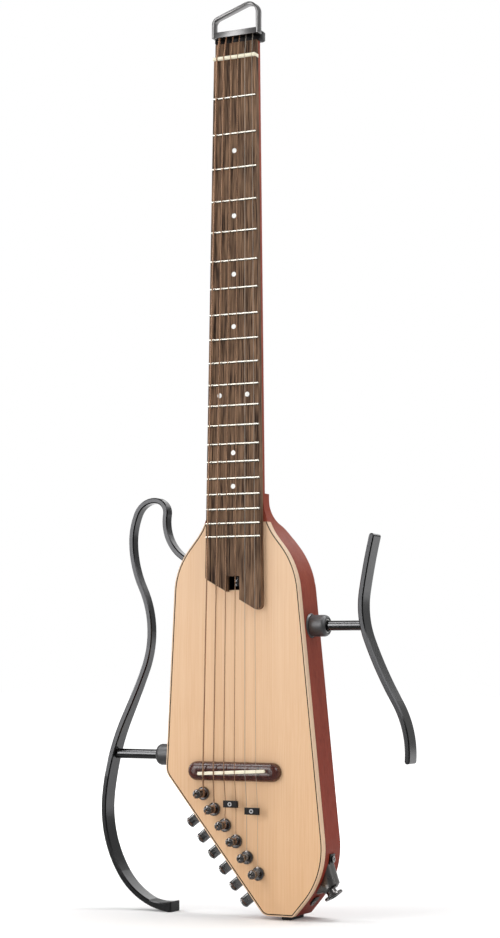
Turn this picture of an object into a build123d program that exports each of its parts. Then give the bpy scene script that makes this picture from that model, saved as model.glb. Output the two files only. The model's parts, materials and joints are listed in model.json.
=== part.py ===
"""A headless travel guitar that stands on a rubber foot and on the end of its left frame bar.

Everything is drawn in the guitar's own layout: X runs from the bass side to the treble side, Y runs
from the front of the fretboard towards the back, and Z runs up the neck, with zero at the nut.
The last step moves every piece to the part's frame, with the floor at zero height.
"""
from build123d import *
import math
import os

# Strings and fretboard
SCALE = 650.0
FRET_COUNT = 20
BOARD_W_NUT = 43.0
BOARD_W_SADDLE = 61.0
BOARD_T = 6.5
BOARD_LEFT_END = -483.0
BOARD_RIGHT_END = -514.6
FRET_W = 2.4
FRET_H = 1.1
TANG_W = 0.6
TANG_D = 2.0
DOT_R = 2.25
DOT_T = 1.5
NUT_H = 3.2
NUT_TOP = -2.6
SLOT_FLOOR = -1.5
WIRE_R = [0.66, 0.53, 0.41, 0.31, 0.21, 0.16]
NUT_X = [-17.3, -10.2, -3.0, 4.2, 11.4, 18.6]
SADDLE_X = [-27.2, -16.7, -6.3, 4.2, 14.8, 25.6]
ANCHOR_X = [-14.6, -7.9, -1.1, 5.6, 12.2, 18.9]

# Body
BODY_T = 42.0
TOP_Y = BOARD_T
BACK_Y = TOP_Y + BODY_T
MID_Y = 27.0
BACK_ROUND = 3.0
BODY_BOTTOM = -783.4
FLOOR_Z = -787.0
PLATE_T = 4.0
BINDING_W = 1.1
BINDING_T = 6.5
PURFLING_W = 0.65
JOINT_Z = -432.0
SHOULDER_TOP = -406.0

# Corners of the body's outline from the bass shoulder round to the treble shoulder, with each radius
BODY_CORNERS = [
    ((-27.3, -429.6), 60),
    ((-62.3, -472.8), 65),
    ((-70.8, -659.2), 14),
    ((28.8, BODY_BOTTOM), 10),
    ((57.1, BODY_BOTTOM), 3),
    ((88.8, -746.2), 72),
    ((60.0, -470.7), 78),
    ((27.3, -430.2), 60),
]

# Neck
NECK_T_NUT = 14.5
NECK_T_HEEL = 16.5
NECK_FLAT = 2.5
NECK_TOP = 16.5
HEEL_TOP = -405.0
HEEL_ROUND = 20.0
TENON_W = 38.0
TENON_END = -508.0
TENON_Y = 34.0

# Truss rod and its spoke wheel
ROD_W = 5.8
ROD_Y0 = 7.0
ROD_Y1 = 15.2
ROD_AXIS_Y = 12.2
ROD_STEP_Z = -470.0
WHEEL_R = 5.0
WHEEL_Z0 = -490.0
WHEEL_Z1 = -484.0
CUP_W = 13.2
CUP_Z0 = -493.5
CUP_Z1 = -481.0
CUP_Y = 19.0
CUP_WALL = 0.7

# Tuning machines, laid out along the cut lower corner
POST_FIRST = (-31.8, -677.3)
POST_STEP = 17.75
EDGE_DIR = (0.622, -0.783)
OUT_DIR = (-0.783, -0.622)
POST_R = 3.0
WAIST_R = 2.2
BUSHING_R = 6.0
RUN_GAP = 0.05
POST_TOP = -9.8
LEDGE_Y = 24.0
HOUSING_Y = 35.0
SHAFT_Y = 29.5
SHAFT_OFFSET = 6.8
SHAFT_R = 2.0
KNOB_R = 5.0
KNOB_IN = 24.5
KNOB_OUT = 38.5
WIND_Y = -0.3
WIND_QUARTERS = 7
WIND_GAP = 0.55
WIND_SEAT = 0.4
GEAR_RATIO = 16

# Frame bars, rods and lock nuts
BAR_T = 5.0
BAR_DEPTH = 18.0
BAR_DEPTH_TOP = 10.5
BAR_CHAMFER = 1.0
ROD_R = 4.5
ROD_FLAT = 3.7
LEFT_ROD_Z = -644.0
RIGHT_ROD_Z = -526.0
SOCKET_R = 7.0
SOCKET_LEN = 34.0
ROD_GRIP = 31.0
NOSE_R = 6.2
NOSE_LEN = 9.0
NUT_COLLAR_R = 9.8
LEFT_COLLAR_LEN = 17.0
RIGHT_COLLAR_LEN = 15.5
FLANGE_R = 11.2
FLANGE_T = 1.6
PEG_R = 2.5
PEG_Z = -466.5
SEAT_GAP = 0.3

# Centre line of each bar, as points that a chain of tangent arcs passes through
LEFT_BAR = [
    (-62.3, -462.5), (-80.2, -440.7), (-81.9, -420.9), (-92.0, -407.6), (-112.7, -419.6),
    (-117.9, -447.2), (-107.3, -489.7), (-97.6, -530.1), (-104.3, -566.6), (-122.6, -609.3),
    (-142.6, -682.7), (-125.3, -753.2), (-74.0, FLOOR_Z + BAR_T / 2 + 0.07),
]
LEFT_BAR_HEADING = 150.1
LEFT_BAR_END = -71.0
RIGHT_BAR = [(128.2, -446.6), (118.4, -495.8), (122.8, -538.5), (149.2, -593.7), (161.3, -645.3)]
RIGHT_BAR_HEADING = -103.6

# Head
BLOCK_X0 = -22.3
BLOCK_X1 = 24.2
BLOCK_Z1 = 27.0
BLOCK_Y0 = 3.7
BLOCK_Y1 = 15.5
LOOP_T = 2.9
LOOP_Y0 = -3.5
LOOP_Y1 = 3.7
LOOP_BOTTOM = 21.0
LOOP_CORNERS = [((-22.3, 39.7), 8.0), ((26.1, 56.1), 11.0)]
BAR_Z1 = 26.3

# Bridge
BRIDGE_L = 92.0
BRIDGE_W = 17.0
BRIDGE_Z = -657.0
BRIDGE_TOP = -1.5
BRIDGE_ROUND = 6.0
SADDLE_L = 67.6
SADDLE_T = 3.0
SADDLE_TOP = -3.7
SADDLE_TILT = 3.6
SADDLE_FLOOR = 2.5

# Output jack and strap button on the lower treble corner
JACK_END = (84.8, -760.5)
JACK_DIR = (0.574, -0.819)
JACK_R = 3.22
SHELL_WIDE = 10.4
SHELL_NARROW = 5.0
SHELL_START = 2.6
SHELL_LEN = 15.5
SHELL_RISE = 10.2
BUTTON_NECK_R = 4.7
BUTTON_NECK_L = 4.3
BUTTON_R = 8.8
BUTTON_T = 1.6

# Rear compartment
BAY_X0, BAY_X1 = -40.0, 30.0
BAY_Z0, BAY_Z1 = -622.0, -556.0
BAY_FLOOR = 18.0
COVER_LIP = 5.0
COVER_T = 2.4

# Where the nut's front edge lies in the part's frame
NUT_AT = (-9.2, -19.35, -FLOOR_Z)


def slab(shape, y0, y1):
    """A sketch drawn in X and Z, made solid from y0 back to y1."""
    return extrude(Plane.XZ.offset(-y0) * shape, amount=y1 - y0, dir=(0, 1, 0))


def block(x0, x1, y0, y1, z0, z1):
    return Pos((x0 + x1) / 2, (y0 + y1) / 2, (z0 + z1) / 2) * Box(x1 - x0, y1 - y0, z1 - z0)


def rod(start, direction, radius, length, top_radius=None):
    """A cylinder, or a cone when top_radius is given, from a point along a direction."""
    place = Plane(origin=start, z_dir=direction).location
    if top_radius is None:
        solid = Cylinder(radius, length, align=(Align.CENTER, Align.CENTER, Align.MIN))
    else:
        solid = Cone(radius, top_radius, length, align=(Align.CENTER, Align.CENTER, Align.MIN))
    return place * solid


def turned(points, start, direction):
    """A solid of revolution from (radius, height) points, standing on a point along a direction."""
    outline = make_face(Plane.XZ * Polyline(*points, close=True))
    return Plane(origin=start, z_dir=direction).location * revolve(outline, Axis.Z)


def rounded(corners, first, last):
    """A closed face from two end points and the rounded corners between them."""
    path = FilletPolyline(first, *[c[0] for c in corners], last, radius=[c[1] for c in corners])
    return make_face([*path.edges(), Line(last, first)])


def one(shape):
    """The single largest solid of a shape."""
    return max(shape.solids(), key=lambda s: s.volume)


def board_w(z):
    return BOARD_W_NUT + (BOARD_W_SADDLE - BOARD_W_NUT) * (-z / SCALE)


def fret_z(number):
    return -SCALE * (1 - 2 ** (-number / 12))


def post_at(index):
    return (POST_FIRST[0] + EDGE_DIR[0] * POST_STEP * index,
            POST_FIRST[1] + EDGE_DIR[1] * POST_STEP * index)


def along(origin, out=0.0, side=0.0):
    """A point given by its distance out of the cut corner and along it."""
    return (origin[0] + OUT_DIR[0] * out + EDGE_DIR[0] * side,
            origin[1] + OUT_DIR[1] * out + EDGE_DIR[1] * side)


def corner_box(origin, out0, out1, side0, side1, y0, y1):
    """A box whose sides follow the cut corner."""
    corners = [along(origin, o, s) for o, s in
               ((out0, side0), (out1, side0), (out1, side1), (out0, side1))]
    return slab(make_face(Polyline(*corners, close=True)), y0, y1)


def body_outline():
    return rounded(BODY_CORNERS, (-27.3, SHOULDER_TOP), (27.3, SHOULDER_TOP))


def below_joint():
    return Pos(0, JOINT_Z - 250) * Rectangle(400, 500)


def neck_section(z, depth):
    half = board_w(z) / 2
    flat = TOP_Y + NECK_FLAT
    curve = EllipticalCenterArc((0, flat), half, depth - NECK_FLAT, arc_size=180)
    sides = Polyline((-half, flat), (-half, TOP_Y), (half, TOP_Y), (half, flat))
    return Plane(origin=(0, 0, z), x_dir=(1, 0, 0), z_dir=(0, 0, 1)) * make_face(
        [*curve.edges(), *sides.edges()])


def wood_blank():
    """Body and neck as one carved form, with the heel swept up into the neck."""
    neck_back = TOP_Y + NECK_T_HEEL
    mid_z = (JOINT_Z + -434) / 2
    rise = (BACK_Y - neck_back) / math.tan(math.radians(66)) / 2
    path = FilletPolyline((BACK_Y, BODY_BOTTOM - 5), (BACK_Y, mid_z - rise), (neck_back - 1.5, mid_z + rise),
                          (neck_back - 1.5, HEEL_TOP), radius=[HEEL_ROUND, HEEL_ROUND])
    close = Polyline((neck_back - 1.5, HEEL_TOP), (0, HEEL_TOP), (0, BODY_BOTTOM - 5), (BACK_Y, BODY_BOTTOM - 5))
    profile = Plane.YZ * make_face([*path.edges(), *close.edges()])
    form = slab(body_outline(), TOP_Y, BACK_Y) & extrude(profile, amount=120, both=True)
    form = one(form)
    back_edges = [e for e in form.edges()
                  if e.center().Y > neck_back + 1 and e.bounding_box().size.Z > 0.5
                  and not (e.bounding_box().size.X < 0.01 and e.bounding_box().size.Z < 0.01)]
    bottom = [e for e in form.edges() if e.center().Z < BODY_BOTTOM + 1 and e.center().Y > BACK_Y - 0.1]
    edges = [e for e in back_edges + bottom if abs(e.center().X) > 1 or e.center().Z < BODY_BOTTOM + 1]
    form = fillet(edges, BACK_ROUND)
    neck = loft([neck_section(NECK_TOP, NECK_T_NUT), neck_section(-440.0, NECK_T_HEEL)])
    return form + neck


def truss_space():
    half = ROD_W / 2 + 0.1
    channel = block(-half, half, TOP_Y, ROD_Y1 + 0.1, ROD_STEP_Z - 2, 8)
    hole = rod((0, ROD_AXIS_Y, CUP_Z1 - 1), (0, 0, 1), 2.7, 12)
    cup = block(-CUP_W / 2, CUP_W / 2, TOP_Y, CUP_Y, CUP_Z0, CUP_Z1)
    return channel + hole + cup


def tuner_recess():
    return corner_box(POST_FIRST, -10, 60, -14, POST_STEP * 5 + 18, LEDGE_Y, BACK_Y + 1)


def jack_point(distance, y=MID_Y):
    return (JACK_END[0] + JACK_DIR[0] * distance, y, JACK_END[1] + JACK_DIR[1] * distance)


JACK_AXIS = (JACK_DIR[0], 0, JACK_DIR[1])


def body_cavities():
    """Everything that is bored or routed into the wood of the body."""
    cuts = [tuner_recess()]
    for i in range(6):
        x, z = post_at(i)
        cuts.append(rod((x, TOP_Y - 1, z), (0, 1, 0), 4.0, 24))
        cuts.append(tuner_screw(i))
    for x, z in RETAINERS:
        cuts.append(rod((x, TOP_Y - 1, z), (0, 1, 0), 1.0, 8))
    for side, z in ((-1, LEFT_ROD_Z), (1, RIGHT_ROD_Z)):
        edge = side_x(side, z)
        cuts.append(rod((edge + side * 3, MID_Y, z), (-side, 0, 0), SOCKET_R, SOCKET_LEN + 3))
        cuts.append(rod((edge, MID_Y, z), (side, 0, 0), FLANGE_R + 0.2, 3))
    cuts.append(rod((-70, MID_Y, PEG_Z), (1, 0, 0), PEG_R + 2, 31))
    cuts.append(rod(jack_point(2), tuple(-v for v in JACK_AXIS), 6.0, 36))
    cuts.append(block(BAY_X0, BAY_X1, BAY_FLOOR, BACK_Y + 1, BAY_Z0, BAY_Z1))
    cuts.append(block(BAY_X0 - COVER_LIP, BAY_X1 + COVER_LIP, BACK_Y - COVER_T, BACK_Y + 1,
                      BAY_Z0 - COVER_LIP, BAY_Z1 + COVER_LIP))
    cuts.append(block(FOOT_X0, FOOT_X1, FOOT_Y0, FOOT_Y1, BODY_BOTTOM - 1, BODY_BOTTOM + FOOT_SINK))
    return cuts


def side_x(side, z):
    """Where the body's side wall lies at a height, on the bass side (-1) or the treble side (1)."""
    top, low = (BODY_CORNERS[1][0], BODY_CORNERS[2][0]) if side < 0 else (BODY_CORNERS[6][0], BODY_CORNERS[5][0])
    return top[0] + (low[0] - top[0]) * (z - top[1]) / (low[1] - top[1])


# Rubber foot
FOOT_X0, FOOT_X1 = 43.3, 52.3
FOOT_Y0, FOOT_Y1 = 13.0, 41.0
FOOT_SINK = 1.5


def make_wood():
    blank = wood_blank()
    tenon = block(-TENON_W / 2, TENON_W / 2, TOP_Y + PLATE_T, TENON_Y, TENON_END, JOINT_Z + 1)
    neck_zone = block(-100, 100, -5, 60, JOINT_Z, 40) + tenon
    neck = (blank & neck_zone) - truss_space()
    for screw in head_screws():
        neck -= screw
    outline = body_outline()
    inner = offset(outline, amount=-BINDING_W)
    body = blank - neck_zone - truss_space()
    body -= slab(outline & below_joint(), TOP_Y - 1, TOP_Y + PLATE_T)
    body -= slab((outline - inner) & below_joint(), TOP_Y, TOP_Y + BINDING_T)
    for cut in body_cavities():
        body -= cut
    return {"neck": one(neck), "body": one(body)}


def make_top():
    """The spruce plate, its dark purfling line and the pale binding round its edge."""
    outline = body_outline()
    inner = offset(outline, amount=-BINDING_W)
    plate = offset(outline, amount=-BINDING_W - PURFLING_W)
    binding = slab((outline - inner) & below_joint(), TOP_Y, TOP_Y + BINDING_T)
    purfling = slab((inner - plate) & below_joint(), TOP_Y, TOP_Y + PLATE_T)
    board = slab(plate & below_joint(), TOP_Y, TOP_Y + PLATE_T)
    board -= truss_space()
    for i in range(6):
        x, z = post_at(i)
        board -= rod((x, TOP_Y - 1, z), (0, 1, 0), 4.0, PLATE_T + 2)
    for x, z in RETAINERS:
        board -= rod((x, TOP_Y - 1, z), (0, 1, 0), 1.0, PLATE_T + 2)
    return {"soundboard": one(board), "binding": one(binding), "purfling": one(purfling)}


def make_fretboard():
    left, right = board_w(BOARD_LEFT_END) / 2, board_w(BOARD_RIGHT_END) / 2
    corners = [((right, BOARD_RIGHT_END), 4.5), ((-left, BOARD_LEFT_END), 3.0)]
    outline = rounded(corners, (BOARD_W_NUT / 2, 0), (-BOARD_W_NUT / 2, 0))
    outline -= Pos(0, CUP_Z1 - 30) * Rectangle(CUP_W, 60)
    board = slab(outline, 0, BOARD_T)
    frets = []
    half = FRET_W / 2
    crown = make_face([*Line((half, 0), (-half, 0)).edges(),
                       *ThreePointArc((-half, 0), (0, FRET_H), (half, 0)).edges()])
    for number in range(1, FRET_COUNT + 1):
        z = fret_z(number)
        width = board_w(z)
        board -= block(-40, 40, -1, TANG_D, z - TANG_W / 2, z + TANG_W / 2)
        place = Plane(origin=(-width / 2 + 0.3, 0, z), x_dir=(0, 0, 1), z_dir=(1, 0, 0))
        bead = extrude(place * crown, amount=width - 0.6)
        tang = block(-width / 2 + 0.3, width / 2 - 0.3, 0, TANG_D, z - TANG_W / 2, z + TANG_W / 2)
        frets.append(one(bead + tang))
    dots = []
    for number in (3, 5, 7, 9, 12, 15, 17):
        z = (fret_z(number) + fret_z(number - 1)) / 2
        for x in ((-14, 14) if number == 12 else (0,)):
            dots.append(rod((x, 0, z), (0, 1, 0), DOT_R, DOT_T))
        side = -board_w(z) / 2
        for shift in ((-4, 4) if number == 12 else (0,)):
            dots.append(rod((side + 0.05, BOARD_T / 2, z + shift), (1, 0, 0), 1.0, 1.5))
    for dot in dots:
        board -= dot
    return {"fretboard": one(board), "frets": Compound(frets), "position_dots": Compound(dots)}


def make_nut():
    half = BOARD_W_NUT / 2
    body = block(-half, half, NUT_TOP, TOP_Y, 0, NUT_H)
    body = chamfer(body.edges().filter_by(Axis.X).sort_by(Axis.Y)[:2], 0.8)
    for x, radius in zip(NUT_X, WIRE_R):
        width = radius + 0.12
        centre = SLOT_FLOOR - radius
        body -= block(x - width, x + width, NUT_TOP - 1, centre, -1, NUT_H + 1)
        body -= rod((x, centre, -1), (0, 0, 1), width, NUT_H + 2)
    overlay = block(-half + 0.2, half - 0.2, 2.5, TOP_Y, NUT_H, NECK_TOP)
    return {"nut": one(body), "head_overlay": one(overlay)}


def head_screws():
    return [rod((x, 9.6, BLOCK_Z1), (0, 0, -1), 3.4, 2.0, 1.6)
            + rod((x, 9.6, BLOCK_Z1 - 2), (0, 0, -1), 1.6, 24) for x in (-11.0, 13.0)]


def make_head():
    base = block(BLOCK_X0, BLOCK_X1, BLOCK_Y0, BLOCK_Y1, NECK_TOP, BLOCK_Z1)
    base = chamfer(base.edges().filter_by(Axis.Y) + base.edges().filter_by(Axis.X).sort_by(Axis.Y)[-2:], 1.5)
    screws = head_screws()
    for screw in screws:
        base -= screw
    (left, left_z), left_r = LOOP_CORNERS[0]
    (right, right_z), right_r = LOOP_CORNERS[1]
    outer = rounded(LOOP_CORNERS, (left, LOOP_BOTTOM), (right, LOOP_BOTTOM))
    slope = (right_z - left_z) / (right - left)
    drop = LOOP_T * math.hypot(1, slope)
    inner_corners = [((left + LOOP_T, left_z + LOOP_T * slope - drop), left_r - LOOP_T),
                     ((right - LOOP_T, right_z - LOOP_T * slope - drop), right_r - LOOP_T)]
    inner = rounded(inner_corners, (left + LOOP_T, LOOP_BOTTOM - 5), (right - LOOP_T, LOOP_BOTTOM - 5))
    loop = slab(outer - inner, LOOP_Y0, LOOP_Y1)
    bar = block(left + LOOP_T, right - LOOP_T, LOOP_Y0, LOOP_Y1, LOOP_BOTTOM, BAR_Z1)
    for x, radius in zip(ANCHOR_X, WIRE_R):
        bar -= rod((x, ANCHOR_Y, LOOP_BOTTOM - 1), (0, 0, 1), radius + 0.4, 10)
        bar -= rod((x, ANCHOR_Y, BAR_Z1 - 3.6), (0, 0, 1), BALL_R + 0.1, 5)
    return {"head_block": one(base), "hanging_loop": one(loop), "string_bar": one(bar),
            "head_screws": Compound([one(s) for s in screws])}


ANCHOR_Y = -0.4
BALL_R = 1.9
BALL_L = 3.0
BALL_Z = BAR_Z1 - 3.4


def winding_points(index):
    """Quarter-turn points of the wire wound down the post."""
    x, z = post_at(index)
    radius = WAIST_R + WIND_SEAT + WIRE_R[index]
    pitch = 2 * WIRE_R[index] + WIND_GAP
    points = []
    for quarter in range(WIND_QUARTERS + 1):
        angle = -quarter * math.pi / 2
        points.append((x + radius * math.cos(angle), WIND_Y + pitch * quarter / 4, z + radius * math.sin(angle)))
    return points


def turn_gap(arcs, radius):
    """The least gap between the wire's turns, measured between points along their middle line."""
    points = [arc @ (step / 12) for arc in arcs for step in range(12)]
    gaps = [(a - b).length for i, a in enumerate(points) for b in points[i + 24:]]
    return round(min(gaps) - 2 * radius, 3)


def make_string(index):
    """One wire from its ball end over nut and saddle to its turns round the post."""
    radius = WIRE_R[index]
    saddle_z = saddle_line(SADDLE_X[index]) - SADDLE_T / 2
    turns = winding_points(index)
    route = [(ANCHOR_X[index], ANCHOR_Y, BALL_Z), (NUT_X[index], SLOT_FLOOR - radius - 0.04, NUT_H),
             (SADDLE_X[index], SADDLE_TOP - radius - 0.07, saddle_z)]
    bends = [8.0, 10.0]
    if index >= 2:
        pinned = RETAINERS[0] if index < 4 else RETAINERS[1]
        height = pinned[1] + RETAINER_W / 2 + 0.5
        share = (height - saddle_z) / (turns[0][2] - saddle_z)
        x = SADDLE_X[index] + (turns[0][0] - SADDLE_X[index]) * share
        route.append((x, RETAINER_Y + radius + 0.1, height))
        bends.append(6.0)
    route.append(turns[0])
    run = FilletPolyline(*route, radius=bends)
    edges = list(run.edges())
    last = edges[-1]
    heading = last % 1
    for start, end in zip(turns, turns[1:]):
        arc = TangentArc(start, end, tangent=heading)
        edges.append(arc.edge())
        heading = arc % 1
    path = Wire(edges)
    first = edges[0]
    section = Plane(origin=first @ 0, z_dir=first % 0) * Circle(radius)
    wire = sweep(section, path=path)
    ball = rod((ANCHOR_X[index], ANCHOR_Y, BALL_Z - 0.05), (0, 0, 1), BALL_R, BALL_L)
    print("string", index + 1, "least gap to itself", turn_gap(edges[-WIND_QUARTERS:], radius),
          "length", round(path.length, 1))
    return one(wire + ball)


def saddle_line(x):
    """Height of the saddle's crown line at a place across the bridge."""
    return BRIDGE_Z - 0.5 + x / SADDLE_L * SADDLE_TILT


RETAINERS = [(-0.6, -685.7), (20.8, -691.3)]
RETAINER_Y = -0.7
RETAINER_L = 14.4
RETAINER_W = 6.2


def make_bridge():
    base = slab(Pos(0, BRIDGE_Z) * SlotOverall(BRIDGE_L, BRIDGE_W), BRIDGE_TOP, TOP_Y)
    base = fillet(base.edges().filter_by(lambda e: e.center().Y < BRIDGE_TOP + 0.1), BRIDGE_ROUND)
    angle = math.degrees(math.atan2(SADDLE_TILT, SADDLE_L))
    slot = Pos(0, saddle_line(0)) * Rot(0, 0, angle) * SlotOverall(SADDLE_L, SADDLE_T)
    base -= slab(slot, BRIDGE_TOP - 5, SADDLE_FLOOR)
    saddle = slab(slot, SADDLE_TOP, SADDLE_FLOOR - 1.2)
    strip = slab(Pos(0, saddle_line(0)) * Rot(0, 0, angle) * Rectangle(SADDLE_L - 6, SADDLE_T - 0.4),
                 SADDLE_FLOOR - 1.2, SADDLE_FLOOR)
    retainers, screws = [], []
    for x, z in RETAINERS:
        bar = block(x - RETAINER_L / 2, x + RETAINER_L / 2, RETAINER_Y - 2.2, RETAINER_Y,
                    z - RETAINER_W / 2, z + RETAINER_W / 2)
        bar = chamfer(bar.edges().sort_by(Axis.Y)[:4], 0.5)
        bar += rod((x, RETAINER_Y - 0.1, z), (0, 1, 0), 2.4, TOP_Y - RETAINER_Y + 0.1)
        screw = (rod((x, RETAINER_Y - 3.0, z), (0, 1, 0), 1.9, 0.8)
                 + rod((x, RETAINER_Y - 2.3, z), (0, 1, 0), 1.0, 16))
        retainers.append(one(bar - rod((x, RETAINER_Y - 3, z), (0, 1, 0), 1.0, 16)))
        screws.append(one(screw))
    return {"bridge": one(base), "saddle": one(saddle), "pickup_strip": one(strip),
            "string_retainers": Compound(retainers), "retainer_screws": Compound(screws)}


def make_truss():
    half = ROD_W / 2
    bar = block(-half, half, ROD_Y0, ROD_Y1, ROD_STEP_Z, 6)
    bar += rod((0, ROD_AXIS_Y, WHEEL_Z0 + 2), (0, 0, 1), 2.4, ROD_STEP_Z - WHEEL_Z0)
    cup = block(-CUP_W / 2, CUP_W / 2, TOP_Y, CUP_Y, CUP_Z0, CUP_Z1)
    cup -= block(-CUP_W / 2 + CUP_WALL, CUP_W / 2 - CUP_WALL, TOP_Y - 1, CUP_Y - CUP_WALL,
                 CUP_Z0 + CUP_WALL, CUP_Z1 - CUP_WALL)
    cup -= rod((0, ROD_AXIS_Y, CUP_Z1 - 2), (0, 0, 1), 2.7, 4)
    wheel = rod((0, ROD_AXIS_Y, WHEEL_Z0), (0, 0, 1), WHEEL_R, WHEEL_Z1 - WHEEL_Z0)
    wheel -= rod((0, ROD_AXIS_Y, WHEEL_Z0 - 1), (0, 0, 1), 2.4 + RUN_GAP, 8)
    for turn in range(6):
        angle = math.radians(60 * turn + 90)
        direction = (math.cos(angle), math.sin(angle), 0)
        wheel -= rod((0, ROD_AXIS_Y, (WHEEL_Z0 + WHEEL_Z1) / 2), direction, 0.9, WHEEL_R + 1)
    return {"truss_rod": one(bar), "truss_pocket": one(cup), "truss_wheel": one(wheel)}


def post_profile():
    return [(0, POST_TOP), (1.7, POST_TOP + 0.5), (2.9, POST_TOP + 1.6), (3.35, POST_TOP + 3.2), (3.2, -5.2),
            (WAIST_R, -4.0), (WAIST_R, 3.9), (POST_R, 4.1), (POST_R, HOUSING_Y - 2.5), (0, HOUSING_Y - 2.5)]


def tuner_screw(index):
    x, z = along(post_at(index), -5.6, 7.6)
    return (rod((x, HOUSING_Y + 0.9, z), (0, -1, 0), 1.8, 0.9)
            + rod((x, HOUSING_Y + 0.1, z), (0, -1, 0), 0.9, 19))


def make_tuners():
    parts = {}
    bushings, housings, screws = [], [], []
    out = (OUT_DIR[0], 0, OUT_DIR[1])
    for i in range(6):
        centre = post_at(i)
        x, z = centre
        parts[f"tuner_post_{i + 1}"] = one(turned(post_profile(), (x, 0, z), (0, 1, 0)))
        ring = turned([(POST_R + RUN_GAP, 4.0), (BUSHING_R - 1, 4.0), (BUSHING_R, 4.8), (BUSHING_R, TOP_Y),
                       (4.0, TOP_Y), (4.0, 16.0), (POST_R + RUN_GAP, 16.0)], (x, 0, z), (0, 1, 0))
        bushings.append(one(ring))
        shaft_line = along(centre, 0, SHAFT_OFFSET)
        case = corner_box(centre, -8.5, 10.5, -6.0, 10.6, LEDGE_Y, HOUSING_Y)
        case = chamfer(case.edges().filter_by(lambda e: e.center().Y > HOUSING_Y - 0.01), 1.5)
        case -= rod((x, LEDGE_Y - 1, z), (0, 1, 0), POST_R + RUN_GAP, HOUSING_Y - LEDGE_Y)
        start = along(shaft_line, -4.5)
        case -= rod((start[0], SHAFT_Y, start[1]), out, SHAFT_R + RUN_GAP, 20)
        screw = tuner_screw(i)
        housings.append(one(case - screw))
        screws.append(one(screw))
        inner = along(shaft_line, -4.0)
        knob = turned([(0, 0), (SHAFT_R, 0), (SHAFT_R, KNOB_IN + 4), (KNOB_R - 1, KNOB_IN + 4),
                       (KNOB_R, KNOB_IN + 5), (KNOB_R, KNOB_OUT + 3.2), (KNOB_R - 0.8, KNOB_OUT + 4),
                       (0, KNOB_OUT + 4)], (inner[0], SHAFT_Y, inner[1]), out)
        parts[f"tuner_knob_{i + 1}"] = one(knob)
    parts["tuner_bushings"] = Compound(bushings)
    parts["tuner_housings"] = Compound(housings)
    parts["tuner_screws"] = Compound(screws)
    return parts


def bar_face(points, heading):
    """The outline of a bent bar: arcs tangent to each other, thickened both ways."""
    angle = math.radians(heading)
    direction = Vector(math.cos(angle), math.sin(angle))
    edges = []
    for start, end in zip(points, points[1:]):
        arc = TangentArc(start, end, tangent=direction)
        edges.append(arc.edge())
        direction = arc % 1
    return make_face(offset(Wire(edges), amount=BAR_T / 2, kind=Kind.ARC, side=Side.BOTH).edges())


def standing_end():
    """The thickened end that the left bar stands on."""
    far, low = LEFT_BAR_END, FLOOR_Z + 0.07
    top = ThreePointArc((-97.0, -775.6), (-85.0, -778.3), (far, -777.4))
    rest = Polyline((far, -777.4), (far, low), (far - 3.5, low), (-90.0, -781.5), (-97.0, -775.6))
    end = slab(make_face([*top.edges(), *rest.edges()]), MID_Y - BAR_DEPTH / 2, MID_Y + BAR_DEPTH / 2)
    outer = [e for e in end.edges() if abs(e.center().Y - MID_Y) > BAR_DEPTH / 2 - 0.1
             and (e.center().X > far - 0.1 or e.center().Z > -779.5)]
    return chamfer(outer, BAR_CHAMFER)


def soften(bar):
    """Breaks the long front and back edges of a bar."""
    broad = [f for f in bar.faces() if abs(f.normal_at().Y) > 0.9]
    edges = [e for f in broad for e in f.outer_wire().edges()]
    once = [e for e in edges if sum(e.is_same(other) for other in edges) == 1]
    return chamfer(once, BAR_CHAMFER)


def flat_rod(start_x, end_x, z, radius, flat):
    """A round rod along X with a flat along its back that stops it turning."""
    low, high = min(start_x, end_x), max(start_x, end_x)
    shaft = rod((low, MID_Y, z), (1, 0, 0), radius, high - low)
    return shaft - block(low - 1, high + 1, MID_Y + flat, MID_Y + 20, z - 10, z + 10)


def lock_nut(side, edge, z, length):
    """A collar with a rounded end that screws over the socket's nose and grips the rod."""
    profile = [(NOSE_R + RUN_GAP, 0), (NUT_COLLAR_R - 0.5, 0), (NUT_COLLAR_R, 0.5), (NUT_COLLAR_R, length - 3.4),
               (NUT_COLLAR_R - 0.4, length - 1.9), (NUT_COLLAR_R - 1.2, length - 0.7), (NUT_COLLAR_R - 2.2, length),
               (7.0, length), (6.5, length - 1.8), (ROD_R + 0.3, length - 1.8), (ROD_R + 0.3, NOSE_LEN + 0.5),
               (NOSE_R + RUN_GAP, NOSE_LEN + 0.5)]
    return one(turned(profile, (edge + side * (FLANGE_T + 0.05), MID_Y, z), (side, 0, 0)))


def socket(side, edge, z):
    profile = [(0, -SOCKET_LEN), (SOCKET_R, -SOCKET_LEN), (SOCKET_R, -3), (SOCKET_R, 0), (FLANGE_R, 0),
               (FLANGE_R - 0.8, FLANGE_T), (NOSE_R, FLANGE_T), (NOSE_R, FLANGE_T + NOSE_LEN), (0, FLANGE_T + NOSE_LEN)]
    tube = turned(profile, (edge, MID_Y, z), (side, 0, 0))
    bore = flat_rod(edge - side * (SOCKET_LEN - 2), edge + side * 20, z, ROD_R + RUN_GAP, ROD_FLAT + RUN_GAP)
    return one(tube - bore)


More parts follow.
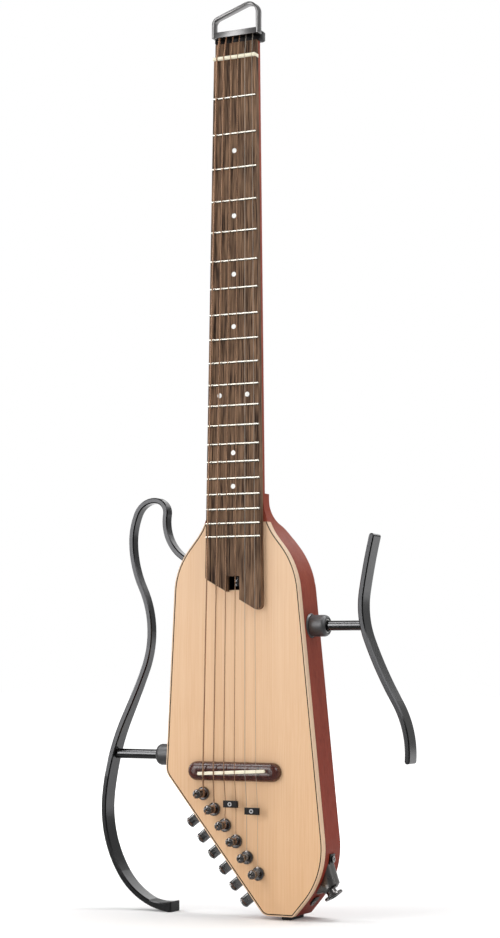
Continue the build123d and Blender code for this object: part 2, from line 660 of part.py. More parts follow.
def make_frames():
    outline_gap = slab(offset(body_outline(), amount=SEAT_GAP), TOP_Y - 5, BACK_Y + 5)
    left_points = [(-50.0, -469.6)] + LEFT_BAR
    left = slab(bar_face(LEFT_BAR, LEFT_BAR_HEADING), MID_Y - BAR_DEPTH / 2, MID_Y + BAR_DEPTH / 2)
    toe = Line(left_points[0], left_points[1])
    toe_face = make_face(offset(Wire([toe.edge()]), amount=BAR_T / 2, side=Side.BOTH).edges())
    left = left + slab(toe_face, MID_Y - BAR_DEPTH / 2, MID_Y + BAR_DEPTH / 2) - outline_gap
    wide, narrow = BAR_DEPTH / 2, BAR_DEPTH_TOP / 2
    taper = Plane.YZ * make_face(Polyline(
        (MID_Y - wide, -800), (MID_Y + wide, -800), (MID_Y + wide, -665), (MID_Y + narrow, -545),
        (MID_Y + narrow, -380), (MID_Y - narrow, -380), (MID_Y - narrow, -545), (MID_Y - wide, -665), close=True))
    left = one(soften(one(left & extrude(taper, amount=200, both=True))) + standing_end())
    right = slab(bar_face(RIGHT_BAR, RIGHT_BAR_HEADING), MID_Y - BAR_DEPTH / 2, MID_Y + BAR_DEPTH / 2)
    right = soften(one(right))
    left_edge, right_edge = side_x(-1, LEFT_ROD_Z), side_x(1, RIGHT_ROD_Z)
    left_rod = flat_rod(left_edge + ROD_GRIP, -138.5, LEFT_ROD_Z, ROD_R, ROD_FLAT) - left
    right_rod = flat_rod(right_edge - ROD_GRIP, 119.0, RIGHT_ROD_Z, ROD_R, ROD_FLAT) - right
    peg = rod((-59.0, MID_Y, PEG_Z), (1, 0, 0), PEG_R, 16) - left
    bush = rod((-70, MID_Y, PEG_Z), (1, 0, 0), PEG_R + 2, 31) - rod((-75, MID_Y, PEG_Z), (1, 0, 0),
                                                                   PEG_R + RUN_GAP, 34)
    bush &= slab(body_outline(), TOP_Y, BACK_Y)
    sockets = [socket(-1, left_edge, LEFT_ROD_Z), socket(1, right_edge, RIGHT_ROD_Z), one(bush)]
    return {"left_frame_bar": left, "left_frame_rod": one(left_rod), "left_frame_peg": one(peg),
            "right_frame_bar": one(right), "right_frame_rod": one(right_rod),
            "left_lock_nut": lock_nut(-1, left_edge, LEFT_ROD_Z, LEFT_COLLAR_LEN),
            "right_lock_nut": lock_nut(1, right_edge, RIGHT_ROD_Z, RIGHT_COLLAR_LEN),
            "frame_sockets": Compound(sockets)}


def shell_section(depth, rise, radius):
    """One cut across the jack's shell: an arch whose legs run down into the wood."""
    place = Plane(origin=jack_point(-depth), x_dir=(JACK_DIR[1] * -1, 0, JACK_DIR[0]), z_dir=JACK_AXIS)
    crest = ThreePointArc((rise, -radius), (rise + radius, 0), (rise, radius))
    legs = Polyline((rise, radius), (rise - 14, radius), (rise - 14, -radius), (rise, -radius))
    return place * make_face([*crest.edges(), *legs.edges()])


def make_jack():
    inward = tuple(-v for v in JACK_AXIS)
    wood = slab(body_outline(), TOP_Y, BACK_Y)
    shell = loft([shell_section(SHELL_START, 0, SHELL_WIDE),
                  shell_section(SHELL_START + SHELL_LEN, SHELL_RISE, SHELL_NARROW)])
    strip = slab(offset(body_outline(), amount=1.3), MID_Y - 5, MID_Y + 5)
    strip &= block(60, 95, 0, 60, -772, -728.5)
    plate = (shell + strip) - wood - rod(jack_point(2), inward, 6.0, 36)
    tube = rod(jack_point(0), inward, 6.0, 32) - rod(jack_point(1), inward, JACK_R, 30)
    button = (rod(jack_point(0), JACK_AXIS, BUTTON_NECK_R, BUTTON_NECK_L + 0.2)
              + rod(jack_point(BUTTON_NECK_L), JACK_AXIS, BUTTON_R, BUTTON_T))
    button -= rod(jack_point(-1), JACK_AXIS, JACK_R, 12)
    screws = []
    for (x, z), normal in (((85.9, -733.0), (1, 0, 0)), ((66.6, -771.2), (0.766, 0, -0.643))):
        start = (x + normal[0] * 2.2, MID_Y, z + normal[2] * 2.2)
        screws.append(rod(start, tuple(-v for v in normal), 3.0, 1.2)
                      + rod(start, tuple(-v for v in normal), 1.4, 14))
    return {"jack_plate": one(plate), "jack_socket": one(tube), "strap_button": one(button)}, screws


def make_rear():
    cover = block(BAY_X0 - COVER_LIP, BAY_X1 + COVER_LIP, BACK_Y - COVER_T, BACK_Y,
                  BAY_Z0 - COVER_LIP, BAY_Z1 + COVER_LIP)
    screws = []
    for x in (BAY_X0 - 2, BAY_X1 + 2):
        for z in (BAY_Z0 - 2, BAY_Z1 + 2):
            screws.append(rod((x, BACK_Y, z), (0, -1, 0), 2.4, 1.4, 1.2)
                          + rod((x, BACK_Y - 1.3, z), (0, -1, 0), 1.2, 12))
    for screw in screws:
        cover -= screw
    board = block(-34, -2, BAY_FLOOR, BAY_FLOOR + 1.6, -617, -561)
    for i, z in enumerate((-610, -598, -586, -572)):
        board += block(-30 + 3 * i, -22 + 4 * i, BAY_FLOOR + 1.5, BAY_FLOOR + 5, z, z + 7)
    battery = fillet(block(2, 28, BAY_FLOOR, BAY_FLOOR + 17, -613, -565).edges().filter_by(Axis.Z), 2.0)
    return {"rear_cover": one(cover), "preamp_board": one(board), "battery": one(battery)}, screws


def make_foot():
    foot = block(FOOT_X0, FOOT_X1, FOOT_Y0, FOOT_Y1, FLOOR_Z, BODY_BOTTOM + FOOT_SINK)
    return {"rubber_foot": one(chamfer(foot.edges().group_by(Axis.Z)[0], 0.6))}


def build():
    parts = {}
    parts.update(make_wood())
    parts.update(make_top())
    parts.update(make_fretboard())
    parts.update(make_nut())
    parts.update(make_head())
    parts.update(make_bridge())
    parts.update(make_truss())
    parts.update(make_tuners())
    parts.update(make_frames())
    parts.update(make_foot())
    jack, jack_screws = make_jack()
    rear, cover_screws = make_rear()
    parts.update(jack)
    parts.update(rear)
    for i in range(6):
        parts[f"string_{i + 1}"] = make_string(i)
    parts["jack_plate_screws"] = Compound([one(s) for s in jack_screws])
    parts["cover_screws"] = Compound([one(s) for s in cover_screws])
    for screw in jack_screws:
        parts["jack_plate"] = one(parts["jack_plate"] - screw)
        parts["body"] = one(parts["body"] - screw)
    for screw in cover_screws:
        parts["body"] = one(parts["body"] - screw)
    return parts


os.makedirs("parts", exist_ok=True)
for name, shape in build().items():
    export_step(Pos(*NUT_AT) * shape, f"parts/{name}.step")
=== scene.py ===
"""The travel guitar's finishes, its fine fittings, and the studio that it stands in."""
import json
import math

import bpy
from mathutils import Matrix, Vector


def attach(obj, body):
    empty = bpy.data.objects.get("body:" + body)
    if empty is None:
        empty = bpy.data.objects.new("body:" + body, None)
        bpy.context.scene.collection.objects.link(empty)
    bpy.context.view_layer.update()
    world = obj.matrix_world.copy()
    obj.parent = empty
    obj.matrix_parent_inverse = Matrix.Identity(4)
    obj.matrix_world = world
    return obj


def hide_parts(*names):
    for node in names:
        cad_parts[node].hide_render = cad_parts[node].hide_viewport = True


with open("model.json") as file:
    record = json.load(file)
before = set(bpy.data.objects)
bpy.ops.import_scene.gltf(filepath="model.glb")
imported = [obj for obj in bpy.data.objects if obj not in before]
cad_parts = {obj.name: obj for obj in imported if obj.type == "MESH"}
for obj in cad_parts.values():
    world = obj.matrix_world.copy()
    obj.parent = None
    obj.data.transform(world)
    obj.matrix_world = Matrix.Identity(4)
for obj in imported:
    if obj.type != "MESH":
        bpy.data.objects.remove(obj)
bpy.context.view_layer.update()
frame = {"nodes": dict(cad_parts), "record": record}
nodes = frame["nodes"]
scene = bpy.context.scene

# The guitar's own layout, as in the part's source: millimetres from the nut's front edge,
# X to the treble side, Y to the back and Z up the neck.
NUT_AT = Vector((-9.2, -19.35, 787.0))
BOARD_T = 6.5
BODY_MID_Y = 27.0
POST_FIRST = (-31.8, -677.3)
POST_STEP = 17.75
EDGE_DIR = Vector((0.622, 0, -0.783))
OUT_DIR = Vector((-0.783, 0, -0.622))
SHAFT_Y = 29.5
SHAFT_OFFSET = 6.8
KNOB_OUT = 38.5
KNOB_R = 5.0
POST_TOP = -9.8
SLOT_W = 0.8
DOME_SPREAD = 1.26
SLOT_TURN = 0.5
HOOD_HALF = 10.0
HOOD_CUT = 29.6
WIRE_R = (0.66, 0.53, 0.41, 0.31, 0.21, 0.16)
NUT_X = (-17.3, -10.2, -3.0, 4.2, 11.4, 18.6)
ANCHOR_X = (-14.6, -7.9, -1.1, 5.6, 12.2, 18.9)
RETAINERS = ((-0.6, -685.7), (20.8, -691.3))
JACK_DIR = Vector((0.574, 0, -0.819))


def place(x, y, z):
    """A point of the guitar's layout, in metres in the part's frame."""
    return (Vector((x, y, z)) + NUT_AT) / 1000


def paint(red, green, blue):
    """A colour as a painter reads it, from 0 to 255, made linear for the shader."""
    def linear(value):
        value /= 255
        return value / 12.92 if value <= 0.04045 else ((value + 0.055) / 1.055) ** 2.4
    return (linear(red), linear(green), linear(blue), 1.0)


# Shader groups shared by several finishes

def start_group(name, inputs, outputs):
    group = bpy.data.node_groups.new(name, "ShaderNodeTree")
    for label, kind, default in inputs:
        socket = group.interface.new_socket(label, in_out="INPUT", socket_type=kind)
        if default is not None:
            socket.default_value = default
    for label, kind in outputs:
        group.interface.new_socket(label, in_out="OUTPUT", socket_type=kind)
    source = group.nodes.new("NodeGroupInput")
    sink = group.nodes.new("NodeGroupOutput")
    return group, source, sink


def add(tree, kind, **settings):
    node = tree.nodes.new(kind)
    for key, value in settings.items():
        setattr(node, key, value)
    return node


def wood_grain_group():
    """Long fibres that run up Z: fine lines, broad bands and open pores."""
    group, source, sink = start_group(
        "wood grain",
        [("Vector", "NodeSocketVector", None), ("Pale", "NodeSocketColor", (0.8, 0.6, 0.4, 1)),
         ("Dark", "NodeSocketColor", (0.4, 0.3, 0.2, 1)), ("Line Width", "NodeSocketFloat", 1.2),
         ("Band Width", "NodeSocketFloat", 14.0), ("Stretch", "NodeSocketFloat", 60.0),
         ("Contrast", "NodeSocketFloat", 0.6), ("Pores", "NodeSocketFloat", 0.3)],
        [("Color", "NodeSocketColor"), ("Height", "NodeSocketFloat"), ("Pore Mask", "NodeSocketFloat")])
    link = group.links.new
    wander = add(group, "ShaderNodeTexNoise")
    wander.inputs["Scale"].default_value = 9.0
    wander.inputs["Detail"].default_value = 1.0
    link(source.outputs["Vector"], wander.inputs["Vector"])
    drift = add(group, "ShaderNodeVectorMath", operation="MULTIPLY_ADD")
    link(wander.outputs["Color"], drift.inputs[0])
    drift.inputs[1].default_value = (0.006, 0.006, 0.0)
    link(source.outputs["Vector"], drift.inputs[2])

    def fibres(width_socket, detail, long_share):
        across = add(group, "ShaderNodeMath", operation="DIVIDE")
        across.inputs[0].default_value = 1000.0
        link(width_socket, across.inputs[1])
        along = add(group, "ShaderNodeMath", operation="DIVIDE")
        link(across.outputs[0], along.inputs[0])
        link(source.outputs["Stretch"], along.inputs[1])
        slower = add(group, "ShaderNodeMath", operation="MULTIPLY")
        link(along.outputs[0], slower.inputs[0])
        slower.inputs[1].default_value = long_share
        scale = add(group, "ShaderNodeCombineXYZ")
        link(across.outputs[0], scale.inputs[0])
        link(across.outputs[0], scale.inputs[1])
        link(slower.outputs[0], scale.inputs[2])
        stretched = add(group, "ShaderNodeVectorMath", operation="MULTIPLY")
        link(drift.outputs[0], stretched.inputs[0])
        link(scale.outputs[0], stretched.inputs[1])
        noise = add(group, "ShaderNodeTexNoise")
        noise.inputs["Scale"].default_value = 1.0
        noise.inputs["Detail"].default_value = detail
        noise.inputs["Roughness"].default_value = 0.6
        link(stretched.outputs[0], noise.inputs["Vector"])
        return noise.outputs["Fac"]

    lines = fibres(source.outputs["Line Width"], 4.0, 1.0)
    bands = fibres(source.outputs["Band Width"], 2.0, 3.0)
    sharp = add(group, "ShaderNodeMapRange")
    sharp.inputs["From Min"].default_value = 0.38
    sharp.inputs["From Max"].default_value = 0.66
    link(lines, sharp.inputs["Value"])
    mixed = add(group, "ShaderNodeMath", operation="MULTIPLY_ADD")
    link(bands, mixed.inputs[0])
    mixed.inputs[1].default_value = 0.9
    half = add(group, "ShaderNodeMath", operation="MULTIPLY")
    link(sharp.outputs[0], half.inputs[0])
    half.inputs[1].default_value = 0.55
    link(half.outputs[0], mixed.inputs[2])
    share = add(group, "ShaderNodeMath", operation="MULTIPLY", use_clamp=True)
    link(mixed.outputs[0], share.inputs[0])
    link(source.outputs["Contrast"], share.inputs[1])
    tone = add(group, "ShaderNodeMix", data_type="RGBA")
    link(share.outputs[0], tone.inputs["Factor"])
    link(source.outputs["Pale"], tone.inputs[6])
    link(source.outputs["Dark"], tone.inputs[7])
    pit = add(group, "ShaderNodeMapRange")
    pit.inputs["From Min"].default_value = 0.60
    pit.inputs["From Max"].default_value = 0.70
    link(lines, pit.inputs["Value"])
    pores = add(group, "ShaderNodeMath", operation="MULTIPLY")
    link(pit.outputs[0], pores.inputs[0])
    link(source.outputs["Pores"], pores.inputs[1])
    dusk = add(group, "ShaderNodeMix", data_type="RGBA", blend_type="MULTIPLY")
    link(pores.outputs[0], dusk.inputs["Factor"])
    link(tone.outputs[2], dusk.inputs[6])
    dusk.inputs[7].default_value = (0.35, 0.3, 0.28, 1)
    link(dusk.outputs[2], sink.inputs["Color"])
    height = add(group, "ShaderNodeMath", operation="SUBTRACT")
    link(share.outputs[0], height.inputs[0])
    link(pores.outputs[0], height.inputs[1])
    link(height.outputs[0], sink.inputs["Height"])
    link(pores.outputs[0], sink.inputs["Pore Mask"])
    return group


def fine_marks_group():
    """Small uneven patches that vary a finish's roughness, as handling and dust do."""
    group, source, sink = start_group(
        "fine marks",
        [("Vector", "NodeSocketVector", None), ("Size", "NodeSocketFloat", 4.0),
         ("Least", "NodeSocketFloat", 0.3), ("Most", "NodeSocketFloat", 0.5)],
        [("Roughness", "NodeSocketFloat"), ("Height", "NodeSocketFloat")])
    link = group.links.new
    scale = add(group, "ShaderNodeMath", operation="DIVIDE")
    scale.inputs[0].default_value = 1000.0
    link(source.outputs["Size"], scale.inputs[1])
    noise = add(group, "ShaderNodeTexNoise")
    noise.inputs["Detail"].default_value = 5.0
    noise.inputs["Roughness"].default_value = 0.65
    link(source.outputs["Vector"], noise.inputs["Vector"])
    link(scale.outputs[0], noise.inputs["Scale"])
    spread = add(group, "ShaderNodeMapRange")
    spread.inputs["From Min"].default_value = 0.3
    spread.inputs["From Max"].default_value = 0.7
    link(noise.outputs["Fac"], spread.inputs["Value"])
    link(source.outputs["Least"], spread.inputs["To Min"])
    link(source.outputs["Most"], spread.inputs["To Max"])
    link(spread.outputs[0], sink.inputs["Roughness"])
    link(noise.outputs["Fac"], sink.inputs["Height"])
    return group


WOOD = wood_grain_group()
MARKS = fine_marks_group()


def start_finish(name, metallic=0.0, roughness=0.5, specular=0.5, coat=0.0, coat_roughness=0.1):
    finish = bpy.data.materials.new(name)
    finish.use_nodes = True
    tree = finish.node_tree
    shader = tree.nodes["Principled BSDF"]
    shader.inputs["Metallic"].default_value = metallic
    shader.inputs["Roughness"].default_value = roughness
    shader.inputs["Specular IOR Level"].default_value = specular
    shader.inputs["Coat Weight"].default_value = coat
    shader.inputs["Coat Roughness"].default_value = coat_roughness
    where = tree.nodes.new("ShaderNodeTexCoord")
    return finish, tree, shader, where.outputs["Object"]


def raise_surface(tree, shader, height, distance, strength=0.5):
    bump = tree.nodes.new("ShaderNodeBump")
    bump.inputs["Strength"].default_value = strength
    bump.inputs["Distance"].default_value = distance
    tree.links.new(height, bump.inputs["Height"])
    tree.links.new(bump.outputs["Normal"], shader.inputs["Normal"])


def vary_roughness(tree, shader, where, size, least, most):
    marks = tree.nodes.new("ShaderNodeGroup")
    marks.node_tree = MARKS
    tree.links.new(where, marks.inputs["Vector"])
    marks.inputs["Size"].default_value = size
    marks.inputs["Least"].default_value = least
    marks.inputs["Most"].default_value = most
    tree.links.new(marks.outputs["Roughness"], shader.inputs["Roughness"])
    return marks.outputs["Height"]


def wood_finish(name, pale, dark, line, band, stretch, contrast, pores, rough, coat=0.0, bump=0.00008,
                specular=0.25, painted_low_shade=None):
    finish, tree, shader, where = start_finish(name, specular=specular, coat=coat, coat_roughness=0.25)
    grain = tree.nodes.new("ShaderNodeGroup")
    grain.node_tree = WOOD
    tree.links.new(where, grain.inputs["Vector"])
    for label, value in (("Pale", pale), ("Dark", dark), ("Line Width", line), ("Band Width", band),
                         ("Stretch", stretch), ("Contrast", contrast), ("Pores", pores)):
        grain.inputs[label].default_value = value
    tone = grain.outputs["Color"]
    # Painted shade: below 0.33 m the colour is multiplied by the low colour, more fully towards the floor, so the
    # lower wood is painted darker as if in shade.
    if painted_low_shade:
        parts = tree.nodes.new("ShaderNodeSeparateXYZ")
        tree.links.new(where, parts.inputs[0])
        low = tree.nodes.new("ShaderNodeMapRange")
        low.inputs["From Min"].default_value = 0.33
        low.inputs["From Max"].default_value = 0.02
        tree.links.new(parts.outputs["Z"], low.inputs["Value"])
        shade_below = add(tree, "ShaderNodeMix", data_type="RGBA", blend_type="MULTIPLY")
        tree.links.new(low.outputs[0], shade_below.inputs["Factor"])
        tree.links.new(tone, shade_below.inputs[6])
        shade_below.inputs[7].default_value = painted_low_shade
        tone = shade_below.outputs[2]
    tree.links.new(tone, shader.inputs["Base Color"])
    vary_roughness(tree, shader, where, 6.0, rough[0], rough[1])
    raise_surface(tree, shader, grain.outputs["Height"], bump)
    return finish


def metal_finish(name, tone, rough, size=3.0, bump=0.00001, metallic=1.0, coat=0.0):
    finish, tree, shader, where = start_finish(name, metallic=metallic, coat=coat)
    shader.inputs["Base Color"].default_value = tone
    height = vary_roughness(tree, shader, where, size, rough[0], rough[1])
    raise_surface(tree, shader, height, bump, 0.3)
    return finish


def plain_finish(name, tone, rough, size=2.0, bump=0.00002, specular=0.5):
    finish, tree, shader, where = start_finish(name, specular=specular)
    shader.inputs["Base Color"].default_value = tone
    height = vary_roughness(tree, shader, where, size, rough[0], rough[1])
    raise_surface(tree, shader, height, bump, 0.4)
    return finish


def brushed_finish(name, tone, rough, direction):
    """Metal with fine straight brush lines; direction stretches the lines along one axis."""
    finish, tree, shader, where = start_finish(name, metallic=1.0)
    shader.inputs["Base Color"].default_value = tone
    stretch = tree.nodes.new("ShaderNodeMapping")
    stretch.inputs["Scale"].default_value = direction
    tree.links.new(where, stretch.inputs["Vector"])
    lines = tree.nodes.new("ShaderNodeTexNoise")
    lines.inputs["Scale"].default_value = 1.0
    lines.inputs["Detail"].default_value = 4.0
    tree.links.new(stretch.outputs[0], lines.inputs["Vector"])
    spread = tree.nodes.new("ShaderNodeMapRange")
    spread.inputs["To Min"].default_value = rough[0]
    spread.inputs["To Max"].default_value = rough[1]
    tree.links.new(lines.outputs["Fac"], spread.inputs["Value"])
    tree.links.new(spread.outputs[0], shader.inputs["Roughness"])
    raise_surface(tree, shader, lines.outputs["Fac"], 0.00002, 0.4)
    return finish


def wound_finish(name, tone, groove, pitch):
    """A string's wrap wire: close rings along the string, with painted shade in the grooves between them."""
    finish, tree, shader, where = start_finish(name, metallic=0.85, roughness=0.35)
    rings = tree.nodes.new("ShaderNodeTexWave")
    rings.bands_direction = "Z"
    rings.inputs["Scale"].default_value = 0.31416 / pitch
    rings.inputs["Distortion"].default_value = 0.0
    tree.links.new(where, rings.inputs["Vector"])
    shade = tree.nodes.new("ShaderNodeMix")
    shade.data_type = "RGBA"
    tree.links.new(rings.outputs["Fac"], shade.inputs["Factor"])
    # Painted shade: the groove colour darkens the hollows between the wraps.
    shade.inputs[6].default_value = groove
    shade.inputs[7].default_value = tone
    tree.links.new(shade.outputs[2], shader.inputs["Base Color"])
    raise_surface(tree, shader, rings.outputs["Fac"], pitch * 0.3, 0.5)
    return finish


def pearl_finish():
    finish, tree, shader, where = start_finish("pearl inlay", roughness=0.22, coat=0.4)
    cells = tree.nodes.new("ShaderNodeTexNoise")
    cells.inputs["Scale"].default_value = 700.0
    cells.inputs["Detail"].default_value = 3.0
    tree.links.new(where, cells.inputs["Vector"])
    blend = tree.nodes.new("ShaderNodeMix")
    blend.data_type = "RGBA"
    tree.links.new(cells.outputs["Fac"], blend.inputs["Factor"])
    blend.inputs[6].default_value = paint(214, 216, 214)
    blend.inputs[7].default_value = paint(246, 244, 238)
    tree.links.new(blend.outputs[2], shader.inputs["Base Color"])
    return finish


def body_wood():
    """Red-stained mahogany under satin lacquer, with short dark pores, and painted shade that darkens it towards
    the bottom.
    """
    return wood_finish("stained mahogany", paint(166, 84, 66), paint(112, 48, 36), 0.9, 20.0, 26.0,
                       0.62, 0.35, (0.36, 0.46), bump=0.00003, specular=0.06,
                       painted_low_shade=(0.78, 0.5, 0.44, 1))


FINISH = {
    # The spruce and its edge carry painted shade too: their low colour darkens them towards the bottom.
    "spruce": wood_finish("satin spruce", paint(242, 209, 176), paint(228, 187, 148), 0.9, 11.0, 220.0,
                          0.75, 0.0, (0.46, 0.56), bump=0.00002, painted_low_shade=(0.93, 0.85, 0.74, 1)),
    "edge": wood_finish("spruce edge", paint(240, 212, 184), paint(218, 184, 150), 0.9, 11.0, 200.0,
                        0.6, 0.0, (0.4, 0.5), bump=0.00001, painted_low_shade=(0.95, 0.9, 0.84, 1)),
    "line": plain_finish("black line", paint(22, 14, 10), (0.5, 0.65), specular=0.1),
    "mahogany": body_wood(),
    "rosewood": wood_finish("oiled rosewood", paint(180, 142, 111), paint(52, 36, 26), 1.1, 4.0, 36.0,
                            1.05, 0.85, (0.5, 0.66), bump=0.00008, specular=0.15),
    "bridge": wood_finish("polished rosewood", paint(104, 50, 40), paint(34, 14, 11), 0.7, 6.0, 22.0,
                          0.9, 0.4, (0.2, 0.3), coat=0.2, bump=0.00004, specular=0.6),
    "bone": plain_finish("bone", paint(247, 239, 214), (0.28, 0.4), size=5.0),
    "fret": metal_finish("fret wire", paint(188, 184, 174), (0.2, 0.3), bump=0.0),
    "pearl": pearl_finish(),
    "nickel": brushed_finish("brushed nickel", paint(122, 121, 121), (0.24, 0.36), (90.0, 1500.0, 1500.0)),
    # Painted shade: the head block's nickel is made nearly black, standing in for the deep shade under the string
    # bar.
    "nickel with painted shade": metal_finish("nickel with painted shade", paint(30, 29, 29), (0.3, 0.42), bump=0.0),
    "gunmetal": metal_finish("black nickel", paint(128, 125, 124), (0.16, 0.28), bump=0.0),
    "knob": brushed_finish("turned black nickel", paint(150, 150, 150), (0.22, 0.3), (900.0, 120.0, 900.0)),
    "frame": metal_finish("satin frame lacquer", paint(62, 62, 63), (0.2, 0.24), size=6.0, bump=0.0),
    "rod": metal_finish("turned steel", paint(96, 96, 97), (0.2, 0.28), bump=0.0),
    "cast nickel": metal_finish("cast nickel", paint(132, 130, 128), (0.26, 0.3), size=8.0, bump=0.0),
    "bright steel": metal_finish("bright steel", paint(150, 150, 148), (0.16, 0.26), bump=0.0),
    "satin steel": metal_finish("satin steel", paint(196, 196, 196), (0.5, 0.6), bump=0.0, metallic=0.4),
    "collar": metal_finish("bead-blasted collar", paint(112, 112, 113), (0.42, 0.55), size=0.6, bump=0.00003,
                           metallic=0.85),
    "black metal": plain_finish("black enamel", paint(22, 21, 21), (0.3, 0.42), specular=0.25),
    "rubber": plain_finish("rubber", paint(34, 34, 35), (0.6, 0.75), bump=0.00006),
    "plastic": plain_finish("black plastic", paint(26, 26, 27), (0.4, 0.55), size=0.8),
    # Black pocket plastic; the same near-black also serves as painted shade in the hex sockets.
    "pocket": plain_finish("black pocket plastic and painted socket shade", paint(10, 10, 10), (0.45, 0.6), specular=0.1),
    # The second colour is painted shade for the hollows between the wraps.
    "bronze": wound_finish("bronze wrap", paint(216, 174, 140), paint(138, 102, 80), 0.00032),
    "bronze core": metal_finish("bronze wire", paint(190, 146, 116), (0.25, 0.35), bump=0.0, metallic=0.8),
    "plain steel": metal_finish("plain string steel", paint(176, 166, 154), (0.3, 0.4), bump=0.0, metallic=0.5),
    "board": plain_finish("circuit board", paint(20, 84, 52), (0.3, 0.5)),
    "battery": metal_finish("battery can", paint(52, 54, 60), (0.3, 0.4), metallic=0.5),
}

NODE_FINISH = {
    "body": "mahogany", "neck": "mahogany", "soundboard": "spruce", "binding": "edge", "purfling": "line",
    "fretboard": "rosewood", "frets": "fret", "position_dots": "pearl", "nut": "bone", "head_overlay": "rosewood",
    "head_block": "nickel with painted shade", "string_bar": "nickel", "hanging_loop": "nickel", "head_screws": "gunmetal",
    "truss_rod": "rod", "truss_wheel": "rod", "truss_pocket": "pocket", "bridge": "bridge", "saddle": "bone",
    "pickup_strip": "plastic", "string_retainers": "black metal", "retainer_screws": "satin steel",
    "jack_plate": "gunmetal", "strap_button": "gunmetal", "jack_socket": "bright steel", "jack_plate_screws": "gunmetal",
    "rubber_foot": "rubber", "rear_cover": "plastic", "cover_screws": "gunmetal", "preamp_board": "board",
    "battery": "battery", "tuner_housings": "gunmetal", "tuner_bushings": "gunmetal", "tuner_screws": "gunmetal",
    "left_frame_bar": "frame", "left_frame_rod": "rod", "left_frame_peg": "rod", "left_lock_nut": "collar",
    "right_frame_bar": "frame", "right_frame_rod": "rod", "right_lock_nut": "collar", "frame_sockets": "collar",
}
for number in range(1, 7):
    NODE_FINISH[f"tuner_post_{number}"] = "gunmetal"
    NODE_FINISH[f"tuner_knob_{number}"] = "knob"
    NODE_FINISH[f"string_{number}"] = "bronze" if number <= 4 else "plain steel"

for name, finish in NODE_FINISH.items():
    mesh = nodes[name].data
    mesh.materials.clear()
    mesh.materials.append(FINISH[finish])


# Modelling the fine fittings

def deselect():
    bpy.ops.object.select_all(action="DESELECT")


def pick(*things):
    deselect()
    for thing in things:
        thing.select_set(True)
    bpy.context.view_layer.objects.active = things[0]


def facing(axis):
    """Turns a primitive's own Z to an axis of the guitar."""
    return Vector(axis).to_track_quat("Z", "Y").to_euler()


def add_round(where, axis, radius, height, sides=32, start=0.0):
    """A round bar that begins at a point of the layout and runs along an axis, in millimetres."""
    deselect()
    axis = Vector(axis).normalized()
    centre = place(*(Vector(where) + axis * (start + height / 2)))
    bpy.ops.mesh.primitive_cylinder_add(vertices=sides, radius=radius / 1000, depth=height / 1000,
                                        location=centre, rotation=facing(axis))
    return bpy.context.object


def add_block(where, axis, size, turn=0.0):
    """A block centred on a point, its third side along an axis, turned about that axis."""
    deselect()
    bpy.ops.mesh.primitive_cube_add(size=1, location=place(*where))
    block = bpy.context.object
    block.scale = Vector(size) / 1000
    spin = Matrix.Rotation(turn, 4, "Z")
    block.rotation_euler = (Vector(axis).to_track_quat("Z", "Y").to_matrix().to_4x4() @ spin).to_euler()
    return block


def use_modifier(piece, kind, **settings):
    modifier = piece.modifiers.new(kind.lower(), kind)
    for key, value in settings.items():
        setattr(modifier, key, value)
    pick(piece)
    bpy.ops.object.modifier_apply(modifier=modifier.name)


def finish_piece(piece, name, body, finish, smooth=32):
    """Puts the piece's place into its mesh, gives it its finish and fixes it to a body."""
    pick(piece)
    bpy.ops.object.transform_apply(location=True, rotation=True, scale=True)
    bpy.ops.object.shade_smooth_by_angle(angle=math.radians(smooth))
    piece.name = piece.data.name = name
    piece.data.materials.clear()
    piece.data.materials.append(FINISH[finish])
    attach(piece, body)
    return piece


def solid_copy(node):
    """A copy of a fitting's mesh with its loose triangles joined."""
    copy = bpy.data.objects.new(node + "_fine", nodes[node].data.copy())
    scene.collection.objects.link(copy)
    pick(copy)
    bpy.ops.object.mode_set(mode="EDIT")
    bpy.ops.mesh.select_all(action="SELECT")
    bpy.ops.mesh.remove_doubles(threshold=0.000002)
    bpy.ops.mesh.normals_make_consistent(inside=False)
    bpy.ops.mesh.dissolve_limited(angle_limit=math.radians(0.6))
    bpy.ops.object.mode_set(mode="OBJECT")
    return copy


def cut_away(piece, cutter):
    pick(cutter)
    bpy.ops.object.transform_apply(location=True, rotation=True, scale=True)
    use_modifier(piece, "BOOLEAN", operation="DIFFERENCE", solver="EXACT", object=cutter)
    bpy.data.objects.remove(cutter)


def stand_for(piece, node, finish=None, smooth=32):
    """The finer copy takes the place of the fitting that it was made from."""
    body = next(name for name, held in frame["record"]["behaviour"]["bodies"].items() if node in held)
    finish_piece(piece, node + "_fine", body, finish or NODE_FINISH[node], smooth)
    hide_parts(node)
    return piece


def bent_wire(points, radius, ring=2, steps=4):
    """A round wire through points of the layout, as a closed mesh."""
    deselect()
    bpy.ops.curve.primitive_nurbs_path_add(location=(0, 0, 0))
    wire = bpy.context.object
    wire.data.splines.clear()
    line = wire.data.splines.new("NURBS")
    line.points.add(len(points) - 1)
    for knot, point in zip(line.points, points):
        knot.co = (*place(*point), 1.0)
    line.order_u = 3
    line.use_endpoint_u = True
    wire.data.dimensions = "3D"
    wire.data.resolution_u = line.resolution_u = steps
    wire.data.bevel_depth = radius / 1000
    wire.data.bevel_resolution = ring
    wire.data.use_fill_caps = True
    pick(wire)
    bpy.ops.object.convert(target="MESH")
    wire = bpy.context.object
    bpy.ops.object.mode_set(mode="EDIT")
    bpy.ops.mesh.select_all(action="SELECT")
    bpy.ops.mesh.remove_doubles(threshold=0.000001)
    bpy.ops.mesh.normals_make_consistent(inside=False)
    bpy.ops.object.mode_set(mode="OBJECT")
    return wire


# Edges that the maker breaks with a file or a tumbler

def soften_edges(node, width, segments=2, angle=40):
    piece = solid_copy(node)
    use_modifier(piece, "BEVEL", width=width / 1000, segments=segments, limit_method="ANGLE",
                 angle_limit=math.radians(angle), use_clamp_overlap=True)
    return stand_for(piece, node, smooth=40)


# Screws: the drive is cut into the head of each

